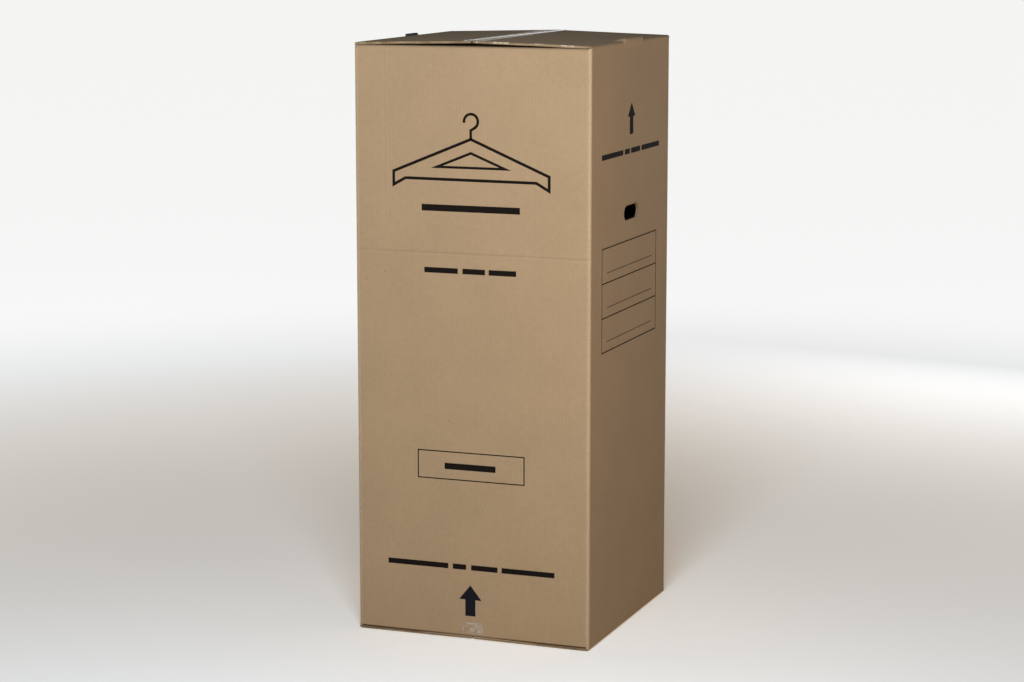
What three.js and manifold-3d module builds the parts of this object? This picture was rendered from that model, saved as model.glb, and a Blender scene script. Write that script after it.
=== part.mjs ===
// A tall wardrobe moving box in millimetres, +Z up, standing on the middle of its base.
// One folded sheet of corrugated board, taped along its top and bottom seams, with a moulded
// rail for coat hangers hooked over the folds of its two side walls.

import * as THREE from 'three';
import { mergeVertices } from 'three/addons/utils/BufferGeometryUtils.js';
import Module from 'manifold-3d';

// Driving sizes of the carton
const boxWidth = 500; // left to right, outside
const boxDepth = 500; // front to back, outside
const boxHeight = 1203; // floor to the folds of the two side walls
const boardThickness = 4.5;
const foldInnerRadius = 0.8;
const flapSideSetback = 1.2; // from a wall's inner face to the side edge of a flap
const flapSeamGap = 3; // between two flaps that meet
const flapLayerGap = 0.5; // between the flaps lying on each other at the top
const topSeamRiseFront = 6; // the taped top springs up towards its seam
const topSeamRiseBack = 7;
const bottomSeamRise = 1.4; // keeps the tape off the floor
const bottomFlatWidth = 84; // of each outer bottom flap, level on the floor
const glueLapWidth = 38;
const glueLapTaper = 12;
const glueLapSetback = 1; // from the left wall's outer face to the raw end of the back wall

// Driving sizes of what is cut and pressed into the carton
const handHoleLength = 90;
const handHoleHeight = 29;
const handHoleDrop = 332; // from the side folds to the top of the hole
const handHoleCutWidth = 0.8; // lost along the rim of the pushed-in tab
const tearLineDrop = 415; // from the side folds
const tearLineWidth = 3;
const tearLineDepth = 0.6;

// Driving sizes of the tape
const tapeWidth = 48;
const tapeThickness = 0.3;
const tapeTurnUp = 35; // up the front and the back from the floor

// Driving sizes of the rail
const railSetback = 35; // behind the middle of the box
const railWall = 2.4; // moulded wall of the whole rail
const railHookWidth = 50;
const railHookRise = 4.5; // above the side folds
const railHookPocketDepth = 1.8;
const railHookPocketCount = 3;
const railRibThickness = 2;
const railBarWidth = 20;
const railBarHeight = 24;
const railBarRibPitch = 45;
const railHangerRoom = 24; // between the closed flaps and the bar, for the hooks of the hangers
const railGussetReach = 26;

// Clearance between pieces that touch
const contactGap = 0.3;

// How finely curves are stepped
const foldSteps = 6;
const railCurveSteps = 8;
const liftSteps = 8;

// Sizes that follow
const halfWidth = boxWidth / 2;
const halfDepth = boxDepth / 2;
const foldOuterRadius = foldInnerRadius + boardThickness;
const sideTopZ = boxHeight;
const frontTopZ = sideTopZ - boardThickness - flapLayerGap;
const sideBottomZ = 0;
const frontBottomZ = sideBottomZ + boardThickness + bottomSeamRise + flapLayerGap;
const sideFlapHalf = halfDepth - boardThickness - flapSideSetback;
const frontFlapHalf = halfWidth - boardThickness - flapSideSetback;
const wallBottomZ = frontBottomZ + foldOuterRadius;
const wallTopZ = frontTopZ - foldOuterRadius;
const handHoleTopZ = sideTopZ - handHoleDrop;

const cardboard = new THREE.MeshStandardMaterial({ color: 0xa78a6a, roughness: 0.88, metalness: 0 });
const clearFilm = new THREE.MeshStandardMaterial({
  color: 0xcfc4b2,
  roughness: 0.12,
  metalness: 0,
  transparent: true,
  opacity: 0.35
});
const blackPlastic = new THREE.MeshStandardMaterial({ color: 0x17171a, roughness: 0.5, metalness: 0 });

// Solids and their joins

const wasm = await Module();
wasm.setup();

function solidOf(geometry) {
  const bare = geometry.clone();
  bare.deleteAttribute('normal');
  bare.deleteAttribute('uv');
  const merged = mergeVertices(bare, 1e-5);
  return new wasm.Manifold(new wasm.Mesh({
    numProp: 3,
    vertProperties: new Float32Array(merged.attributes.position.array),
    triVerts: new Uint32Array(merged.index.array)
  }));
}

function geometryOf(solid) {
  const mesh = solid.getMesh();
  const geometry = new THREE.BufferGeometry();
  geometry.setAttribute('position', new THREE.BufferAttribute(mesh.vertProperties, 3));
  geometry.setIndex(new THREE.BufferAttribute(mesh.triVerts, 1));
  geometry.computeVertexNormals();
  return geometry;
}

function joined(solids) {
  return solids.reduce((sum, solid) => sum.add(solid));
}

function block(x0, x1, y0, y1, z0, z1) {
  const geometry = new THREE.BoxGeometry(x1 - x0, y1 - y0, z1 - z0);
  geometry.translate((x0 + x1) / 2, (y0 + y1) / 2, (z0 + z1) / 2);
  return solidOf(geometry);
}

// Outlines and extrusions

// An open line through the corners [x, y, radius], with each inner corner rounded
function roundedLine(corners, steps) {
  const points = [new THREE.Vector2(corners[0][0], corners[0][1])];
  for (let i = 1; i < corners.length - 1; i++) {
    const corner = new THREE.Vector2(corners[i][0], corners[i][1]);
    const before = new THREE.Vector2(corners[i - 1][0], corners[i - 1][1]).sub(corner).normalize();
    const after = new THREE.Vector2(corners[i + 1][0], corners[i + 1][1]).sub(corner).normalize();
    const halfAngle = Math.acos(before.dot(after)) / 2;
    const bisector = before.clone().add(after).normalize();
    const radius = corners[i][2];
    const centre = corner.clone().addScaledVector(bisector, radius / Math.sin(halfAngle));
    const start = corner.clone().addScaledVector(before, radius / Math.tan(halfAngle));
    const turn = Math.PI - 2 * halfAngle;
    const side = Math.sign(before.cross(after));
    for (let step = 0; step <= steps; step++) {
      points.push(start.clone().rotateAround(centre, -side * turn * step / steps));
    }
  }
  const last = corners[corners.length - 1];
  points.push(new THREE.Vector2(last[0], last[1]));
  return points;
}

// The outline of a strip of even thickness along an open line
function stripShape(line, thickness) {
  const left = [];
  const right = [];
  line.forEach((point, i) => {
    const ahead = line[Math.min(i + 1, line.length - 1)];
    const behind = line[Math.max(i - 1, 0)];
    const inward = point.clone().sub(i === 0 ? point.clone().multiplyScalar(2).sub(ahead) : behind).normalize();
    const outward = (i === line.length - 1 ? point.clone().sub(behind) : ahead.clone().sub(point)).normalize();
    const along = inward.clone().add(outward).normalize();
    const reach = thickness / 2 / along.dot(inward);
    const normal = new THREE.Vector2(-along.y, along.x).multiplyScalar(reach);
    left.push(point.clone().add(normal));
    right.push(point.clone().sub(normal));
  });
  return new THREE.Shape([...left, ...right.reverse()]);
}

// A line whose last stretch is divided evenly, so that it can be bent afterwards
function withDividedEnd(line, steps) {
  const last = line[line.length - 1];
  const before = line[line.length - 2];
  const divided = line.slice(0, -1);
  for (let step = 1; step <= steps; step++) {
    divided.push(before.clone().lerp(last, step / steps));
  }
  return divided;
}

function extruded(shape, depth, steps = 1) {
  return new THREE.ExtrudeGeometry(shape, { depth, steps, bevelEnabled: false, curveSegments: 8 });
}

// Extrudes a shape drawn in X and Z along Y, evenly about y
function extrudedAlongY(shape, depth, y = 0, steps = 1) {
  const geometry = extruded(shape, depth, steps);
  geometry.rotateX(Math.PI / 2);
  geometry.translate(0, y + depth / 2, 0);
  return geometry;
}

// Extrudes a shape drawn in Y and Z along X, evenly about x
function extrudedAlongX(shape, depth, x = 0) {
  const geometry = extruded(shape, depth);
  geometry.rotateX(Math.PI / 2);
  geometry.rotateZ(Math.PI / 2);
  geometry.translate(x - depth / 2, 0, 0);
  return geometry;
}

function slotShape(length, height, centreX, centreY) {
  const radius = height / 2;
  const reach = length / 2 - radius;
  const shape = new THREE.Shape();
  shape.absarc(centreX + reach, centreY, radius, -Math.PI / 2, Math.PI / 2, false);
  shape.absarc(centreX - reach, centreY, radius, Math.PI / 2, 3 * Math.PI / 2, false);
  shape.closePath();
  return shape;
}

// How far the outer flaps stand off their level plane

const flapFlatHalf = halfWidth - foldOuterRadius;

function topLift(x, y) {
  const share = Math.max(0, 1 - Math.abs(x) / flapFlatHalf);
  const seamRise = THREE.MathUtils.mapLinear(y, -halfDepth, halfDepth, topSeamRiseFront, topSeamRiseBack);
  return seamRise * share;
}

function bottomLift(x) {
  const risingHalf = flapFlatHalf - bottomFlatWidth;
  const share = THREE.MathUtils.clamp((risingHalf - Math.abs(x)) / risingHalf, 0, 1);
  return bottomSeamRise * THREE.MathUtils.smoothstep(share, 0, 1);
}

function lifted(geometry, lift) {
  const position = geometry.attributes.position;
  for (let i = 0; i < position.count; i++) {
    position.setZ(i, position.getZ(i) + lift(position.getX(i), position.getY(i)));
  }
  return geometry;
}

// The carton

// Half of the board's section where a wall folds into a flap, drawn for the wall at +u
function flapShape(outerHalf, foldZ, wallEndZ, dividing) {
  const inward = Math.sign(wallEndZ - foldZ);
  const midU = outerHalf - boardThickness / 2;
  const midZ = foldZ + inward * boardThickness / 2;
  const midRadius = foldInnerRadius + boardThickness / 2;
  const line = roundedLine([
    [midU, wallEndZ + inward, 0],
    [midU, midZ, midRadius],
    [flapSeamGap / 2, midZ, 0]
  ], foldSteps);
  return stripShape(withDividedEnd(line, dividing), boardThickness);
}

function mirroredShape(shape) {
  return new THREE.Shape(shape.getPoints().map((point) => new THREE.Vector2(-point.x, point.y)).reverse());
}

function cartonWalls() {
  const midX = halfWidth - boardThickness / 2;
  const midY = halfDepth - boardThickness / 2;
  const midRadius = foldInnerRadius + boardThickness / 2;
  const lapMidY = midY - boardThickness;
  const backEndX = -halfWidth + glueLapSetback;
  const height = wallTopZ - wallBottomZ;
  const around = roundedLine([
    [-midX, 0, 0],
    [-midX, -midY, midRadius],
    [midX, -midY, midRadius],
    [midX, midY, midRadius],
    [backEndX, midY, 0]
  ], foldSteps);
  const lapStartX = -halfWidth + foldOuterRadius;
  const lapCorner = roundedLine([
    [-midX, -1, 0],
    [-midX, lapMidY, midRadius],
    [lapStartX + 1, lapMidY, 0]
  ], foldSteps);
  // The lap is glued to the inside of the back wall, so its face sinks into that wall by a hair
  const glueSink = 0.02;
  const lapEndX = lapStartX + glueLapWidth;
  const lap = new THREE.Shape([
    new THREE.Vector2(lapStartX, wallBottomZ),
    new THREE.Vector2(lapEndX, wallBottomZ + glueLapTaper),
    new THREE.Vector2(lapEndX, wallTopZ - glueLapTaper),
    new THREE.Vector2(lapStartX, wallTopZ)
  ]);
  const walls = [around, lapCorner].map((line) => {
    const geometry = extruded(stripShape(line, boardThickness), height);
    geometry.translate(0, 0, wallBottomZ);
    return solidOf(geometry);
  });
  const lapThickness = boardThickness + glueSink;
  const lapPlate = solidOf(extrudedAlongY(lap, lapThickness, lapMidY + glueSink / 2));
  return joined([...walls, lapPlate]);
}

function cartonFlaps() {
  const sideTop = flapShape(halfWidth, sideTopZ, wallTopZ, liftSteps);
  const sideBottom = flapShape(halfWidth, sideBottomZ, wallBottomZ, liftSteps);
  const frontTop = flapShape(halfDepth, frontTopZ, wallTopZ, 1);
  const frontBottom = flapShape(halfDepth, frontBottomZ, wallBottomZ, 1);
  const flaps = [];
  for (const turned of [(shape) => shape, mirroredShape]) {
    const top = extrudedAlongY(turned(sideTop), 2 * sideFlapHalf, 0, liftSteps);
    const bottom = extrudedAlongY(turned(sideBottom), 2 * sideFlapHalf, 0, 1);
    flaps.push(lifted(top, topLift), lifted(bottom, bottomLift));
    flaps.push(extrudedAlongX(turned(frontTop), 2 * frontFlapHalf));
    flaps.push(extrudedAlongX(turned(frontBottom), 2 * frontFlapHalf));
  }
  return flaps.map(solidOf);
}

// The hole runs through both side walls. Its tab stays on the board along the straight top
// of the hole and is pushed in, level
function handHoleTabs() {
  const hinge = handHoleLength - handHoleHeight;
  const midRadius = foldInnerRadius + boardThickness / 2;
  const midX = halfWidth - boardThickness / 2;
  const midZ = handHoleTopZ + boardThickness / 2;
  const tabLength = handHoleLength - 2 * handHoleCutWidth;
  const tabReach = handHoleHeight - handHoleCutWidth;
  const bendEndX = halfWidth - foldOuterRadius;
  const bend = stripShape(roundedLine([
    [midX, handHoleTopZ + foldOuterRadius + 1, 0],
    [midX, midZ, midRadius],
    [bendEndX - 1, midZ, 0]
  ], foldSteps), boardThickness);
  const plate = extruded(slotShape(tabLength, tabReach, 0, 0), boardThickness);
  plate.rotateZ(Math.PI / 2);
  plate.translate(bendEndX - tabReach / 2, 0, handHoleTopZ);
  const right = joined([solidOf(extrudedAlongY(bend, hinge)), solidOf(plate)]);
  return [right, right.mirror([1, 0, 0])];
}

function handHoleCut() {
  const centreZ = handHoleTopZ - handHoleHeight / 2;
  const hinge = handHoleLength - handHoleHeight;
  const hole = slotShape(handHoleLength, handHoleHeight, 0, centreZ);
  const through = solidOf(extrudedAlongX(hole, boxWidth + 2 * boardThickness));
  const hingeRoom = block(
    -halfWidth - 1, halfWidth + 1, -hinge / 2, hinge / 2, centreZ, handHoleTopZ + foldOuterRadius
  );
  return through.add(hingeRoom);
}

// Slots in the top flaps, just inside the walls, where the rail comes up
const railSlotOuterX = halfWidth - boardThickness;
const railLegOuterX = railSlotOuterX - contactGap;
const railLegInnerX = railLegOuterX - railWall;
const railSlotInnerX = railLegInnerX - contactGap;

function railSlots() {
  const y0 = railSetback - railHookWidth / 2 - contactGap;
  const y1 = railSetback + railHookWidth / 2 + contactGap;
  const z0 = frontTopZ - foldOuterRadius;
  const z1 = sideTopZ + topSeamRiseBack;
  return [
    block(railSlotInnerX, railSlotOuterX, y0, y1, z0, z1),
    block(-railSlotOuterX, -railSlotInnerX, y0, y1, z0, z1)
  ];
}

function tearLine() {
  const z = sideTopZ - tearLineDrop;
  const y = -halfDepth;
  const reach = halfWidth - foldOuterRadius;
  return block(-reach, reach, y - 1, y + tearLineDepth, z - tearLineWidth / 2, z + tearLineWidth / 2);
}

function makeCarton() {
  let carton = joined([cartonWalls(), ...cartonFlaps()]);
  carton = carton.subtract(handHoleCut());
  carton = joined([carton, ...handHoleTabs()]);
  for (const cut of [...railSlots(), tearLine()]) {
    carton = carton.subtract(cut);
  }
  return geometryOf(carton);
}

// The tape

function makeTopTape() {
  const midZ = sideTopZ + contactGap + tapeThickness / 2;
  const line = [-1, 0, 1].map((side) => new THREE.Vector2(side * tapeWidth / 2, midZ));
  return lifted(extrudedAlongY(stripShape(line, tapeThickness), 2 * sideFlapHalf, 0, liftSteps), topLift);
}

// Runs under the seam, round the lower front fold and up the wall, and the same at the back
function makeBottomTape() {
  const away = contactGap + tapeThickness / 2;
  const underZ = bottomSeamRise - away;
  const foldRadius = foldOuterRadius + away;
  const foldY = halfDepth - foldOuterRadius;
  const foldZ = frontBottomZ + foldOuterRadius;
  const edgeY = sideFlapHalf + away;
  // The tape leaves the edge of the outer flap on the straight line that touches the fold
  const toFold = new THREE.Vector2(foldY - edgeY, foldZ - underZ);
  const touchAngle = toFold.angle() + Math.acos(foldRadius / toFold.length()) - Math.PI;
  const half = [new THREE.Vector2(edgeY, underZ)];
  for (let step = 0; step <= foldSteps; step++) {
    const angle = touchAngle * (1 - step / foldSteps);
    half.push(new THREE.Vector2(foldY + foldRadius * Math.cos(angle), foldZ + foldRadius * Math.sin(angle)));
  }
  half.push(new THREE.Vector2(halfDepth + away, tapeTurnUp));
  const otherHalf = half.map((point) => new THREE.Vector2(-point.x, point.y)).reverse();
  return extrudedAlongX(stripShape([...otherHalf, ...half], tapeThickness), tapeWidth);
}

// The rail

// Caps the fold of the right wall: a moulded block cut to the fold with the contact gap
function railHook() {
  const topZ = sideTopZ + railHookRise;
  const y0 = railSetback - railHookWidth / 2;
  const y1 = railSetback + railHookWidth / 2;
  const corner = railWall / 2;
  const outline = new THREE.Shape();
  outline.moveTo(railLegInnerX, sideTopZ - boardThickness);
  outline.lineTo(halfWidth, sideTopZ - boardThickness);
  outline.lineTo(halfWidth, topZ - corner);
  outline.absarc(halfWidth - corner, topZ - corner, corner, 0, Math.PI / 2, false);
  outline.lineTo(railLegInnerX + corner, topZ);
  outline.absarc(railLegInnerX + corner, topZ - corner, corner, Math.PI / 2, Math.PI, false);
  const cap = solidOf(extrudedAlongY(outline, railHookWidth, railSetback));
  const foldRoom = new THREE.Shape();
  foldRoom.absarc(halfWidth - foldOuterRadius, sideTopZ - foldOuterRadius, foldOuterRadius + contactGap,
    0, 2 * Math.PI, false);
  const overFold = solidOf(extrudedAlongY(foldRoom, railHookWidth + 2, railSetback));
  const wallSide = block(railLegOuterX, halfWidth + 1, y0 - 1, y1 + 1,
    sideTopZ - 2 * boardThickness, sideTopZ - foldOuterRadius / 2);
  const overWall = block(railLegOuterX, halfWidth + 1, y0 - 1, y1 + 1, sideTopZ - 2 * boardThickness, sideTopZ);
  const trimmed = cap.subtract(overFold.intersect(overWall.add(block(
    railLegOuterX, halfWidth + 1, y0 - 1, y1 + 1, sideTopZ, sideTopZ + contactGap)))).subtract(wallSide);
  const pocketWidth = (railHookWidth - railRibThickness * (railHookPocketCount + 1)) / railHookPocketCount;
  let hook = trimmed;
  for (let i = 0; i < railHookPocketCount; i++) {
    const start = y0 + railRibThickness + i * (pocketWidth + railRibThickness);
    hook = hook.subtract(block(
      railLegInnerX + railRibThickness, halfWidth - railRibThickness,
      start, start + pocketWidth,
      topZ - railHookPocketDepth, topZ + 1
    ));
  }
  return hook;
}

// Hangs from the hook inside the wall, narrowing down to the bar
function railLeg(barTopZ) {
  const barBottomZ = barTopZ - railBarHeight;
  const barHalf = railBarWidth / 2 + railWall;
  const hookHalf = railHookWidth / 2;
  const outline = new THREE.Shape();
  outline.moveTo(railSetback - barHalf, barBottomZ);
  outline.lineTo(railSetback + barHalf, barBottomZ);
  outline.lineTo(railSetback + barHalf, barTopZ);
  outline.quadraticCurveTo(railSetback + hookHalf, barTopZ, railSetback + hookHalf, barTopZ + railHangerRoom);
  outline.lineTo(railSetback + hookHalf, sideTopZ);
  outline.lineTo(railSetback - hookHalf, sideTopZ);
  outline.lineTo(railSetback - hookHalf, barTopZ + railHangerRoom);
  outline.quadraticCurveTo(railSetback - hookHalf, barTopZ, railSetback - barHalf, barTopZ);
  return solidOf(extrudedAlongX(outline, railWall, (railLegOuterX + railLegInnerX) / 2));
}

// The bar is a channel open underneath, with a round top for the hooks and ribs across it
function railBar(barTopZ) {
  const outer = railBarWidth / 2;
  const inner = outer - railWall;
  const roundZ = barTopZ - outer;
  const bottomZ = barTopZ - railBarHeight;
  const channel = new THREE.Shape();
  channel.moveTo(railSetback + inner, bottomZ);
  channel.lineTo(railSetback + outer, bottomZ);
  channel.absarc(railSetback, roundZ, outer, 0, Math.PI, false);
  channel.lineTo(railSetback - outer, bottomZ);
  channel.lineTo(railSetback - inner, bottomZ);
  channel.absarc(railSetback, roundZ, inner, Math.PI, 0, true);
  channel.closePath();
  const span = 2 * railLegInnerX + railWall;
  const pieces = [solidOf(extrudedAlongX(channel, span))];
  const ribCount = Math.floor(span / 2 / railBarRibPitch);
  const ribReach = inner + railWall / 2;
  for (let i = -ribCount; i <= ribCount; i++) {
    const rib = new THREE.Shape();
    rib.moveTo(railSetback - ribReach, bottomZ + railWall);
    rib.lineTo(railSetback + ribReach, bottomZ + railWall);
    rib.absarc(railSetback, roundZ, ribReach, 0, Math.PI, false);
    rib.closePath();
    pieces.push(solidOf(extrudedAlongX(rib, railRibThickness, i * railBarRibPitch)));
  }
  return joined(pieces);
}

// A web under each end of the open length, from the leg along the top of the bar
function railGusset(barTopZ) {
  const outline = new THREE.Shape();
  outline.moveTo(railLegInnerX + railWall / 2, barTopZ - railWall / 2);
  outline.lineTo(railLegInnerX + railWall / 2, barTopZ + railHangerRoom * 0.6);
  outline.lineTo(railLegInnerX, barTopZ + railHangerRoom * 0.6);
  outline.quadraticCurveTo(railLegInnerX, barTopZ, railLegInnerX - railGussetReach, barTopZ);
  outline.lineTo(railLegInnerX - railGussetReach, barTopZ - railWall / 2);
  outline.closePath();
  return solidOf(extrudedAlongY(outline, railWall, railSetback));
}

function makeRail() {
  const flapUndersideZ = frontTopZ - boardThickness;
  const barTopZ = flapUndersideZ - railHangerRoom;
  const end = joined([railHook(), railLeg(barTopZ), railGusset(barTopZ)]);
  return geometryOf(joined([railBar(barTopZ), end, end.mirror([1, 0, 0])]));
}

// The finished box

function named(name, geometry, material) {
  const mesh = new THREE.Mesh(geometry, material);
  mesh.name = name;
  return mesh;
}

const wardrobeBox = new THREE.Group();
wardrobeBox.name = 'wardrobe_box';
wardrobeBox.add(
  named('carton', makeCarton(), cardboard),
  named('tape_top', makeTopTape(), clearFilm),
  named('tape_bottom', makeBottomTape(), clearFilm),
  named('hanging_rail', makeRail(), blackPlastic)
);

export default wardrobeBox;
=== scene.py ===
# A wardrobe moving box of corrugated board: looks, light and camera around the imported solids
import math
import bmesh
import bpy
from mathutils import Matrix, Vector
from mathutils.bvhtree import BVHTree


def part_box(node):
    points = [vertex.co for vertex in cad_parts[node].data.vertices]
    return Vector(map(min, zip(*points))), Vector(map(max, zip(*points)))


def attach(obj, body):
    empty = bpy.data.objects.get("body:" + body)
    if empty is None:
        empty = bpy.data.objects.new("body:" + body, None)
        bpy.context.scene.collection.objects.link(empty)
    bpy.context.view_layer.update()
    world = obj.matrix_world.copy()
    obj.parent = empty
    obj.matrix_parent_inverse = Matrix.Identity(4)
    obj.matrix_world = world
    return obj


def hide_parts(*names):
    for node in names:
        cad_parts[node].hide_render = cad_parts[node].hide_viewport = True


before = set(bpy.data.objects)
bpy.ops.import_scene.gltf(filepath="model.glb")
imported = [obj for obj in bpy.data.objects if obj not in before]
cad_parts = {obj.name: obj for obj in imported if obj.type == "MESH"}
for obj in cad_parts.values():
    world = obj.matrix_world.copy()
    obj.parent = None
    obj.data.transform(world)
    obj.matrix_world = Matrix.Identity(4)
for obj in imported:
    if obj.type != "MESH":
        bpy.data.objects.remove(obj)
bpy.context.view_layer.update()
mm = 0.001

_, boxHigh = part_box("carton")
halfWidth, halfDepth = boxHigh.x, boxHigh.y
up = Vector((0, 0, 1))
print("frame loaded")


# Shared values of the board, as the solids have them
board = {
    "thickness": 4.5 * mm,
    "liner": 0.4 * mm,
    "medium": 0.3 * mm,
    "fluteDepth": 1.0 * mm,  # how deep the raw edges are open between the liners
    "flutePitch": 7.2 * mm,
    "sideTop": 1203 * mm,  # height of the folds of the two side walls
    "foldRadius": 5.3 * mm,
    "flapHalf": 244.3 * mm,  # from the middle to the raw ends of the flaps
    "seamHalf": 1.5 * mm,  # from the middle to the seam edge of an outer flap
    "endShift": 4.6 * mm,  # how far the raw ends of the outer flaps are bent out in the photo
    "bentFrom": 150 * mm,  # at the top that starts so far from the middle
    "bentTo": 236 * mm,  # and is full from here to the side folds
}

palette = {
    "kraftDark": "#917557",
    "kraftLight": "#ae8d69",
    # lighter paper along the upright folds, partly worn and partly a painted highlight
    "kraftWornAndLit": "#c2a583",
    "rawLight": "#b79d7d",
    "rawDark": "#7c6448",
    "mediumLight": "#a58b69",
    "mediumDark": "#6c553a",
    "inkBrown": "#17110d",
    "inkBlue": "#18181d",
    "inkThin": "#21160f",
    "speck": "#5b432c",
    "speckDark": "#33241a",
    "flakeLight": "#d8c8b0",
    "flakeDark": "#a08a6c",
    "film": "#f6f2ea",
    "plastic": "#131315",
    "plasticRubbed": "#28282c",
    "floor": "#f6f6f5",
    "floorGlow": "#ffe6c4",
}


# Small helpers for node trees

# A colour of the palette, turned from sRGB to linear
def linear(name):
    channels = [int(palette[name][i:i + 2], 16) / 255 for i in (1, 3, 5)]
    values = [c / 12.92 if c <= 0.04045 else ((c + 0.055) / 1.055) ** 2.4 for c in channels]
    return (*values, 1.0)


# An input takes a plain value, a socket, or a node, whose first live output is used
def setInputs(tree, node, inputs):
    for name, value in inputs.items():
        if isinstance(value, bpy.types.Node):
            value = next(socket for socket in value.outputs if socket.enabled)
        if isinstance(value, bpy.types.NodeSocket):
            tree.links.new(value, node.inputs[name])
        else:
            node.inputs[name].default_value = value


def addNode(tree, kind, inputs=None, **settings):
    node = tree.nodes.new(kind)
    for name, value in settings.items():
        setattr(node, name, value)
    setInputs(tree, node, inputs or {})
    return node


# Gives the material, its tree and shader, and the place on the object, which its patterns follow
def newMaterial(name, constants):
    material = bpy.data.materials.new(name)
    material.use_nodes = True
    tree = material.node_tree
    tree.nodes.clear()
    shader = addNode(tree, "ShaderNodeBsdfPrincipled", constants)
    addNode(tree, "ShaderNodeOutputMaterial", {"Surface": shader})
    return material, tree, shader, addNode(tree, "ShaderNodeTexCoord").outputs["Object"]


# A tree takes a path as a mesh, sizes and a material, and reads the values kept on the path's points
def newGeometryTree(name, sizes, kinds):
    tree = bpy.data.node_groups.new(name, "GeometryNodeTree")
    tree.interface.new_socket("Geometry", in_out="INPUT", socket_type="NodeSocketGeometry")
    for label in sizes:
        tree.interface.new_socket(label, in_out="INPUT", socket_type="NodeSocketFloat")
    tree.interface.new_socket("Material", in_out="INPUT", socket_type="NodeSocketMaterial")
    tree.interface.new_socket("Geometry", in_out="OUTPUT", socket_type="NodeSocketGeometry")
    values = {label: addNode(tree, "GeometryNodeInputNamedAttribute", {"Name": label}, data_type=kind)
              for label, kind in kinds.items()}
    return tree, addNode(tree, "NodeGroupInput").outputs, values


def addPath(tree, given):
    line = addNode(tree, "GeometryNodeMeshToCurve", {"Mesh": given["Geometry"]})
    return addNode(tree, "GeometryNodeResampleCurve", {"Curve": line, "Length": given["Step"]}, mode="LENGTH")


# A flat strip along a path, its width along one axis of the section and cut into even parts
def addStrip(tree, line, width, axis, count):
    half = addNode(tree, "ShaderNodeMath", {0: width, 1: 0.5}, operation="MULTIPLY")
    end = addNode(tree, "ShaderNodeCombineXYZ", {axis: half})
    start = addNode(tree, "ShaderNodeVectorMath", {0: end, "Scale": -1.0}, operation="SCALE")
    section = addNode(tree, "GeometryNodeCurvePrimitiveLine", {"Start": start, "End": end})
    section = addNode(tree, "GeometryNodeResampleCurve", {"Curve": section, "Count": count}, mode="COUNT")
    return addNode(tree, "GeometryNodeCurveToMesh", {"Curve": line, "Profile Curve": section})


def endTree(tree, given, shape):
    shape = addNode(tree, "GeometryNodeRealizeInstances", {"Geometry": shape})
    shape = addNode(tree, "GeometryNodeSetMaterial", {"Geometry": shape, "Material": given["Material"]})
    addNode(tree, "NodeGroupOutput", {"Geometry": shape})
    return tree


# Small helpers for meshes

def newObject(name, data):
    item = bpy.data.objects.new(name, data)
    bpy.context.scene.collection.objects.link(item)
    return item


def addPiece(name, mesh, materials=()):
    piece = newObject(name, mesh)
    for material in materials:
        mesh.materials.append(material)
    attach(piece, "root")
    return piece


def meshOf(name, vertices, faces, edges=()):
    mesh = bpy.data.meshes.new(name)
    mesh.from_pydata(vertices, edges, faces)
    mesh.validate()
    return mesh


# A closed form of loose parts, with its faces turned outwards
def closedForm(name, vertices, faces):
    mesh = meshOf(name, vertices, faces)
    form = bmesh.new()
    form.from_mesh(mesh)
    bmesh.ops.recalc_face_normals(form, faces=form.faces)
    return mesh, form


def keepForm(form, mesh):
    form.to_mesh(mesh)
    form.free()
    return mesh


# Gives each corner of a face its place on the sheet of board, which the liner's pattern follows
def placeOnBoard(form, placeOf):
    uv = form.loops.layers.uv.new("board")
    for face in form.faces:
        for loop in face.loops:
            loop[uv].uv = placeOf(loop.vert.co, face.normal)


# Keeps one value per point of a path, a direction or a number, for its tree to read
def keepValues(base, values):
    for label, column in values.items():
        isDirection = isinstance(column[0], Vector)
        layer = base.attributes.new(label, "FLOAT_VECTOR" if isDirection else "FLOAT", "POINT")
        for i, value in enumerate(column):
            setattr(layer.data[i], "vector" if isDirection else "value", value)


# Runs a geometry tree on a mesh and gives the plain mesh that comes out
def grownMesh(name, base, tree, values, solidify=None):
    carrier = newObject(name, base)
    modifier = carrier.modifiers.new(tree.name, "NODES")
    modifier.node_group = tree
    for item in tree.interface.items_tree:
        if item.in_out == "INPUT" and item.name in values:
            modifier[item.identifier] = values[item.name]
    if solidify:
        shell = carrier.modifiers.new("thickness", "SOLIDIFY")
        shell.thickness, shell.offset = solidify, 0.0
    depsgraph = bpy.context.evaluated_depsgraph_get()
    mesh = bpy.data.meshes.new_from_object(carrier.evaluated_get(depsgraph))
    mesh.name = name
    bpy.data.objects.remove(carrier)
    return mesh


# The finishes

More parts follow.
